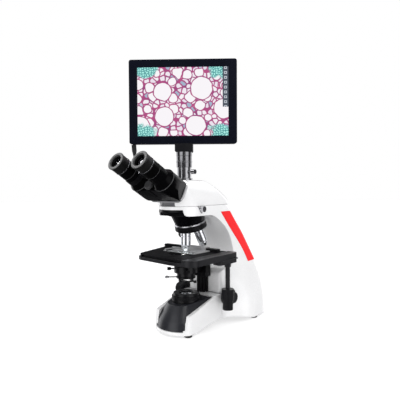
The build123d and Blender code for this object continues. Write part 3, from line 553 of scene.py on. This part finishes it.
# %% Glass
GLASS_IOR = 1.5
GLASS_COAT_ROUGH = 0.02
LAMP_WHITE = (1.0, 0.99, 0.96)
GLASSES = {
    "lens_glass": dict(tint=(0.86, 0.90, 0.93), patch=(0.82, 0.88, 0.92), rough=0.02),
    "lit_glass": dict(tint=(0.86, 0.90, 0.93), patch=(0.82, 0.88, 0.92), rough=0.02, glow=2.2),
    "slide_glass": dict(tint=(0.93, 0.96, 0.96), patch=(0.90, 0.94, 0.95), rough=0.01, clear=0.5),
    "eye_glass": dict(tint=(0.55, 0.60, 0.70), patch=(0.48, 0.42, 0.60), rough=0.02),
}


def glass_material(name, tint, patch, rough, clear=1.0, glow=0.0):
    """Clear glass with patches of a second tint. A clear under 1 leaves a milky share."""
    made, tree, shader = new_material(name)
    cloud = effect(tree, GRAIN, Fineness=400.0, Depth=0.01).outputs["Patches"]
    settle(tree, shader, {
        "Base Color": mix(tree, cloud, tint, patch),
        "Roughness": spread(tree, cloud, 0.0, 1.0, rough, rough * 2),
        "Transmission Weight": clear,
        "IOR": GLASS_IOR,
        "Coat Weight": 1.0,
        "Coat Roughness": GLASS_COAT_ROUGH,
    })
    if glow > 0:
        settle(tree, shader, {"Emission Color": LAMP_WHITE, "Emission Strength": glow})
    return made


for name, row in GLASSES.items():
    materials[name] = glass_material(name, **row)
print("glasses:", len(GLASSES))

# %% [markdown]
# The display is lit, so its picture is an emission. The picture is a made-up section of plant tissue
# with a strip of plain signs. It could be painted as an image, but Voronoi cells give all of it at any
# sharpness. They are read in the plane of the screen, in millimetres from its centre, and a slow noise
# moves them a little so that no cell is straight.

# %% The screen's plane
SCREEN_TURN = radians(37.4)
SCREEN_CENTRE = Vector((-1.9, -4.2, 498.2))
PORT = Vector((0, -3.5, 0))
CELL_DISORDER = 0.82
SWAY_SCALE = 0.05
SWAY_MM = 6.0


def screen_plane(tree):
    """Millimetres across and up from the screen's centre."""
    turn = Matrix.Rotation(-SCREEN_TURN, 3, "Z")
    shift = -(turn @ (PORT * MM)) - SCREEN_CENTRE * MM
    place = add(tree, "ShaderNodeMapping", Vector=coordinate(tree, "Object"), Rotation=(0, 0, -SCREEN_TURN),
                Location=shift).outputs[0]
    return [calc(tree, "MULTIPLY", axis_of(tree, place, axis), 1 / MM) for axis in "XZ"]


def swayed(tree, across, up):
    """The point that the cells are read at, and the slow noise that moved it."""
    point = add(tree, "ShaderNodeCombineXYZ", X=across, Y=up).outputs[0]
    noise = add(tree, "ShaderNodeTexNoise", Vector=point, Scale=SWAY_SCALE, Detail=2.0, noise_dimensions="2D")
    sway = vector_calc(tree, "SCALE", noise.outputs["Color"], Scale=SWAY_MM)
    return vector_calc(tree, "ADD", point, sway), noise.outputs["Fac"]


def cells(tree, point, size, feature="F1"):
    """Voronoi cells of about size millimetres."""
    return add(tree, "ShaderNodeTexVoronoi", voronoi_dimensions="2D", feature=feature, Vector=point,
               Scale=1.0 / size, Randomness=CELL_DISORDER)


print("screen centre:", tuple(SCREEN_CENTRE))

# %% [markdown]
# The tissue has two layers. A mesh of small cells fills the ground: white, lilac and a few blue. Round
# vessels lie over it in two sizes, each at the middle of a larger cell, with a wall of even thickness,
# and some of the larger cells stay without one.

# %% Cells and vessels
WHITE_CELL = (0.93, 0.90, 0.93)
LILAC_CELL = (0.80, 0.72, 0.82)
BLUE_CELL = (0.36, 0.45, 0.58)
MESH_CELL = 11.5
MESH_WALL = (0.08, 0.15)
MESH_CORNER = (0.56, 0.48)
BLUE_FROM = (0.80, 0.84)
VESSEL_WALL = 2.1
VESSEL_INNER = (-0.3, 0.4)
VESSEL_OUTER = 0.5
MISSING_FADE = 0.02
NO_VESSEL = 0.01
GAP_TO_BORDER = 0.9
VESSELS = [dict(size=27.0, small=0.26, large=0.44, missing=0.22),
           dict(size=62.0, small=0.26, large=0.38, missing=0.18)]


def small_cells(tree, point, wall):
    """The mesh of small cells."""
    edge = cells(tree, point, MESH_CELL, "DISTANCE_TO_EDGE").outputs["Distance"]
    mesh = cells(tree, point, MESH_CELL)
    tone = add(tree, "ShaderNodeSeparateColor", Color=mesh.outputs["Color"])
    pale = mix(tree, tone.outputs[0], WHITE_CELL, LILAC_CELL)
    pale = mix(tree, spread(tree, tone.outputs[1], *BLUE_FROM), pale, BLUE_CELL)
    rounded = spread(tree, mesh.outputs["Distance"], *MESH_CORNER)
    inside = calc(tree, "MULTIPLY", spread(tree, edge, *MESH_WALL), rounded)
    return mix(tree, inside, wall, pale)


def add_vessels(tree, point, wall, picture, size, small, large, missing):
    """Round vessels in cells of one size. small and large are radii, as shares of that size."""
    nearest = cells(tree, point, size)
    border = cells(tree, point, size, "DISTANCE_TO_EDGE").outputs["Distance"]
    tone = add(tree, "ShaderNodeSeparateColor", Color=nearest.outputs["Color"])
    radius = spread(tree, tone.outputs[0], 0.0, 1.0, small, large)
    present = spread(tree, tone.outputs[1], missing, missing + MISSING_FADE)
    radius = calc(tree, "MULTIPLY", radius, present)
    rim = VESSEL_WALL / size
    beyond = calc(tree, "SUBTRACT", nearest.outputs["Distance"], radius)
    beyond = calc(tree, "MAXIMUM", beyond, calc(tree, "SUBTRACT", GAP_TO_BORDER * rim, border))
    beyond = calc(tree, "ADD", beyond, calc(tree, "LESS_THAN", radius, NO_VESSEL))
    vessel = mix(tree, spread(tree, beyond, *[blur / size for blur in VESSEL_INNER]), WHITE_CELL, wall)
    return mix(tree, spread(tree, beyond, rim, rim + VESSEL_OUTER / size), vessel, picture)


print("vessel sizes in mm:", [row["size"] for row in VESSELS])

# %% [markdown]
# Finer tissue, stained teal, gathers round a spot near each corner, and the slow noise makes its
# border ragged. The strip of signs is a dark bar at the right with a column of plain square frames.

# %% Corner tissue and the strip of signs
TEAL_WALL = (0.01, 0.20, 0.22)
MINT_CELL = (0.40, 0.86, 0.78)
TISSUE_CELL = 5.0
TISSUE_WALL = (0.03, 0.24)
TISSUE_ACROSS = 84.0
TISSUE_UP = 70.0
TISSUE_FLATNESS = 2.2
TISSUE_RAGGED = 34.0
TISSUE_BORDER = (40.0, 50.0)
STRIP_CENTRE = 92.4
STRIP_HALF = 6.2
STRIP_FOOT = -12.0
STRIP_DARK = (0.07, 0.085, 0.11)
SIGN_GREY = (0.62, 0.66, 0.72)
SIGN_STEP = 10.4
SIGN_START = 100.0
SIGN_OUTSIDE = (3.0, 2.7)
SIGN_INSIDE = (1.7, 1.3)


def add_tissue(tree, point, across, up, noise, picture):
    """Fine tissue in the corners of the picture."""
    edge = cells(tree, point, TISSUE_CELL, "DISTANCE_TO_EDGE").outputs["Distance"]
    tissue = mix(tree, spread(tree, edge, *TISSUE_WALL), TEAL_WALL, MINT_CELL)
    aside = calc(tree, "SUBTRACT", calc(tree, "ABSOLUTE", across), TISSUE_ACROSS)
    above = calc(tree, "SUBTRACT", calc(tree, "ABSOLUTE", up), TISSUE_UP)
    flat = calc(tree, "MULTIPLY", calc(tree, "MULTIPLY", above, above), TISSUE_FLATNESS)
    reach = calc(tree, "SQRT", calc(tree, "ADD", calc(tree, "MULTIPLY", aside, aside), flat))
    reach = calc(tree, "ADD", reach, calc(tree, "MULTIPLY", noise, TISSUE_RAGGED))
    return mix(tree, spread(tree, reach, *TISSUE_BORDER, 1.0, 0.0), picture, tissue)


def add_strip(tree, across, up, picture):
    """The bar of signs at the right side of the picture."""
    aside = calc(tree, "ABSOLUTE", calc(tree, "SUBTRACT", across, STRIP_CENTRE))
    above_foot = calc(tree, "GREATER_THAN", up, STRIP_FOOT)
    bar = calc(tree, "MULTIPLY", calc(tree, "LESS_THAN", aside, STRIP_HALF), above_foot)
    step = calc(tree, "FRACT", calc(tree, "DIVIDE", calc(tree, "ADD", up, SIGN_START), SIGN_STEP))
    level = calc(tree, "ABSOLUTE", calc(tree, "MULTIPLY", calc(tree, "SUBTRACT", step, 0.5), SIGN_STEP))

    def square(half_wide, half_high):
        high = calc(tree, "LESS_THAN", level, half_high)
        return calc(tree, "MULTIPLY", calc(tree, "LESS_THAN", aside, half_wide), high)

    frames = calc(tree, "SUBTRACT", square(*SIGN_OUTSIDE), square(*SIGN_INSIDE))
    return mix(tree, bar, picture, mix(tree, frames, STRIP_DARK, SIGN_GREY))


print("signs every", SIGN_STEP, "mm")

# %% [markdown]
# The layers are put together from the ground up. Only the face of the panel that looks out of the
# bezel is lit, because the vents in the back of the shell would show a panel that is lit all round.

# %% Display
MAGENTA_WALL = (0.56, 0.085, 0.23)
PLUM_WALL = (0.24, 0.05, 0.19)
PANEL_BLACK = (0.01, 0.01, 0.012)
PANEL_ROUGH = 0.14
UNLIT = (0, 0, 0)
FRONT_LIMIT = 0.5


def display_material():
    """The lit picture of round cells."""
    made, tree, shader = new_material("display")
    across, up = screen_plane(tree)
    point, noise = swayed(tree, across, up)
    wall = mix(tree, noise, PLUM_WALL, MAGENTA_WALL)
    picture = small_cells(tree, point, wall)
    for row in VESSELS:
        picture = add_vessels(tree, point, wall, picture, **row)
    picture = add_tissue(tree, point, across, up, noise, picture)
    picture = add_strip(tree, across, up, picture)
    outward = (sin(SCREEN_TURN), -cos(SCREEN_TURN), 0)
    facing = vector_calc(tree, "DOT_PRODUCT", coordinate(tree, "Normal"), outward)
    picture = mix(tree, calc(tree, "GREATER_THAN", facing, FRONT_LIMIT), UNLIT, picture)
    settle(tree, shader, {"Emission Color": picture, "Emission Strength": 1.0, "Base Color": PANEL_BLACK,
                          "Roughness": PANEL_ROUGH})
    return made


materials["display"] = display_material()
print("display nodes:", len(materials["display"].node_tree.nodes))

# %% [markdown]
# Every CAD node now gets the finish of its slot in the record, and the bevel that suits its size:
# wide on the castings and mouldings, fine on turned parts, and none on the lenses, the stripes and the
# display. Two nodes are painted otherwise than their slot says: the centring screws, whose chrome
# would show as white dots, and the condenser's lenses, which glow.

# %% Dress the CAD nodes
FINE_BEVEL = 0.2
BEVELS = {
    "stand_casting": 1.2, "head_housing": 0.8, "screen_bezel": 0.8, "screen_back_shell": 0.8,
    "stage_lower_plate": 0.6, "stage_upper_plate": 0.4, "nose_cover": 0.5, "camera_block": 0.5,
    "nosepiece_mount": 0.5, "binocular_housing_left": 0.5, "binocular_housing_right": 0.5, "rubber_feet": 0.3,
}
UNBEVELLED = {"side_stripes", "display_panel", "field_lens", "condenser_lenses", "eye_lens_left",
              "eye_lens_right", "specimen_slide"}
PAINTED = {"centring_screws": "condenser_black", "condenser_lenses": "lit_glass"}
slot_of = {row["node"]: row["material_slot"] for row in frame["record"]["subparts"]}
for name, obj in frame["nodes"].items():
    obj.data.materials.clear()
    obj.data.materials.append(materials[PAINTED.get(name, slot_of[name])])
    soften(obj, 0.0 if name in UNBEVELLED else BEVELS.get(name, FINE_BEVEL))
print("nodes dressed:", len(frame["nodes"]))

# %% [markdown]
# The small trim is thinner than a solid is worth making for. Each ring is a short profile that is spun
# round the axis of its tube, as a lathe would cut it, and each is set in place in its mesh, so that
# its object stays at the origin like a CAD node's.

# %% Making a piece
SPIN_STEPS = 96
DOUBLES_MM = 0.0005


def new_piece(name, bm, body, slot, place=None):
    """Makes a piece of a bmesh in millimetres, sets it in place and lets it ride on a body."""
    bmesh.ops.remove_doubles(bm, verts=bm.verts[:], dist=DOUBLES_MM)
    bmesh.ops.scale(bm, vec=(MM, MM, MM), verts=bm.verts[:])
    if place is not None:
        bmesh.ops.transform(bm, matrix=place, verts=bm.verts[:])
    bmesh.ops.recalc_face_normals(bm, faces=bm.faces[:])
    mesh = bpy.data.meshes.new(name)
    bm.to_mesh(mesh)
    bm.free()
    for face in mesh.polygons:
        face.use_smooth = True
    obj = bpy.data.objects.new(name, mesh)
    bpy.context.scene.collection.objects.link(obj)
    mesh.materials.append(materials[slot])
    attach(obj, body)
    even = obj.modifiers.new("even", "WEIGHTED_NORMAL")
    even.keep_sharp = False
    return obj


def spun(profile, steps=SPIN_STEPS):
    """A bmesh ring: the closed profile of (radius, height) points, spun round Z."""
    bm = bmesh.new()
    corners = [bm.verts.new((r, 0, z)) for r, z in profile]
    edges = [bm.edges.new((corners[i], corners[(i + 1) % len(corners)])) for i in range(len(corners))]
    bmesh.ops.spin(bm, geom=corners + edges, axis=(0, 0, 1), cent=(0, 0, 0), steps=steps, angle=2 * pi,
                   use_merge=True)
    return bm


def band(radius, low, high, bulge=0.25, depth=0.4, edge=0.2):
    """Profile of a thin ring that stands bulge proud of a tube, with softened edges."""
    return [(radius - depth, low), (radius + bulge / 2, low), (radius + bulge, low + edge),
            (radius + bulge, high - edge), (radius + bulge / 2, high), (radius - depth, high)]


def moved(x, y, z):
    """A move by millimetres."""
    return Matrix.Translation(Vector((x, y, z)) * MM)


print("trim is spun in", SPIN_STEPS, "steps")

# %% [markdown]
# Each eyepiece tube has three turned rings: a bright one under the eyecup, a fine line across the
# tube, and a raised lip where the tube leaves its housing. They are placed in the tube's own frame,
# whose Z runs along the tube to the eye, so that the pair needs only one set of heights.

# %% Turned trim of the eyepiece tubes
TUBE_RISE = radians(30)
EYE_LINE = (0, -167.7, 364.7)
HALF_IPD = 32.85
CUP_RING = band(18.7, -20.9, -19.35)
TUBE_LINE = band(18.3, -41.2, -40.4, bulge=0.12)
HOUSING_LIP = [(24.0, -76.4), (24.75, -76.2), (24.95, -75.6), (24.95, -74.9), (24.5, -74.4), (24.0, -74.5),
               (23.6, -73.9), (23.7, -73.2), (23.4, -72.6), (22.6, -72.2), (21.8, -73.0)]

for side, word in ((1, "right"), (-1, "left")):
    body = "binocular_" + word
    tube = moved(*EYE_LINE) @ Matrix.Rotation(pi / 2 - TUBE_RISE, 4, "X") @ moved(side * HALF_IPD, 0, 0)
    new_piece("eyecup_ring_" + word, spun(CUP_RING), body, "screw_chrome", tube)
    new_piece("tube_line_front_" + word, spun(TUBE_LINE), body, "dial_grey", tube)
    # The lip's ridges are real shape, and its grey colour is a painted highlight for the bright arcs at the
    # housing's mouth.
    new_piece("housing_lip_" + word, spun(HOUSING_LIP), body, "dial_grey", tube)
print("tube trim made")

# %% [markdown]
# The turret shows a bright turned rim above its grip, so its profile is spun about the turret's own
# leaning axis. The iris lever ends in a polished bead, which a hand pushes.

# %% Turret rim and lever bead
TURRET_LEAN = radians(15)
SEAT_RADIUS = 20.5
SEAT_HEIGHT = 212
LEVER_REACH = 42
LEVER_BEARING = radians(222)
BEAD_STEPS = 48
RIM = [(32.5, -20.0), (33.5, -19.9), (34.2, -19.2), (35.2, -17.6), (35.3, -16.9), (34.8, -16.6),
       (32.5, -16.6)]
BEAD = [(3.0, 113.3), (3.9, 113.5), (4.3, 114.2), (4.3, 117.0), (3.9, 117.7), (3.0, 117.9), (1.0, 118.0),
        (1.0, 113.2)]

turret_centre = (0, SEAT_RADIUS * cos(TURRET_LEAN), SEAT_HEIGHT + SEAT_RADIUS * sin(TURRET_LEAN))
turret_place = moved(*turret_centre) @ Matrix.Rotation(pi + TURRET_LEAN, 4, "X")
new_piece("turret_rim", spun(RIM), "turret", "shaft_steel", turret_place)
bead_place = moved(LEVER_REACH * cos(LEVER_BEARING), LEVER_REACH * sin(LEVER_BEARING), 0)
new_piece("iris_bead", spun(BEAD, BEAD_STEPS), "iris", "screw_chrome", bead_place)
print("rim and bead made")

# %% [markdown]
# The camera block under the screen is a hollow box, so a lid closes it in front of the bezel. It is a
# flat plate, extruded from its outline and bevelled all round. A small pin stands out of the stage's
# right side, and it is turned like the trim on the tubes.

# %% Camera block lid and stage pin
LID = [(-18.4, -13.2), (18.4, -13.2), (18.4, -4.6), (-18.4, -4.6)]
LID_UNDERSIDE = 404.6
LID_TOP = 406.8
LID_EDGE = 0.4
PIN = [(0.4, -1.0), (1.3, -1.0), (1.3, 4.2), (2.0, 4.8), (2.1, 6.6), (1.7, 7.4), (0.4, 7.5)]
PIN_PLACE = (94.6, 52.0, 160.6)
PIN_STEPS = 32


def slab(outline, low, high, soft):
    """A flat bmesh plate of an (x, y) outline, with every edge rounded by soft millimetres."""
    bm = bmesh.new()
    face = bm.faces.new([bm.verts.new((x, y, low)) for x, y in outline])
    raised = bmesh.ops.extrude_face_region(bm, geom=[face])["geom"]
    corners = [v for v in raised if isinstance(v, bmesh.types.BMVert)]
    bmesh.ops.translate(bm, vec=(0, 0, high - low), verts=corners)
    bmesh.ops.bevel(bm, geom=bm.edges[:], offset=soft, offset_type="OFFSET", affect="EDGES", segments=2,
                    profile=0.5, material=-1)
    return bm


lid_place = moved(*PORT) @ Matrix.Rotation(SCREEN_TURN, 4, "Z")
lid = slab(LID, LID_UNDERSIDE, LID_TOP, LID_EDGE)
new_piece("camera_block_lid", lid, "screen", "block_black", lid_place)
pin_place = moved(*PIN_PLACE) @ Matrix.Rotation(pi / 2, 4, "Y")
new_piece("stage_pin", spun(PIN, PIN_STEPS), "stage_table", "screw_chrome", pin_place)
print("lid and pin made")
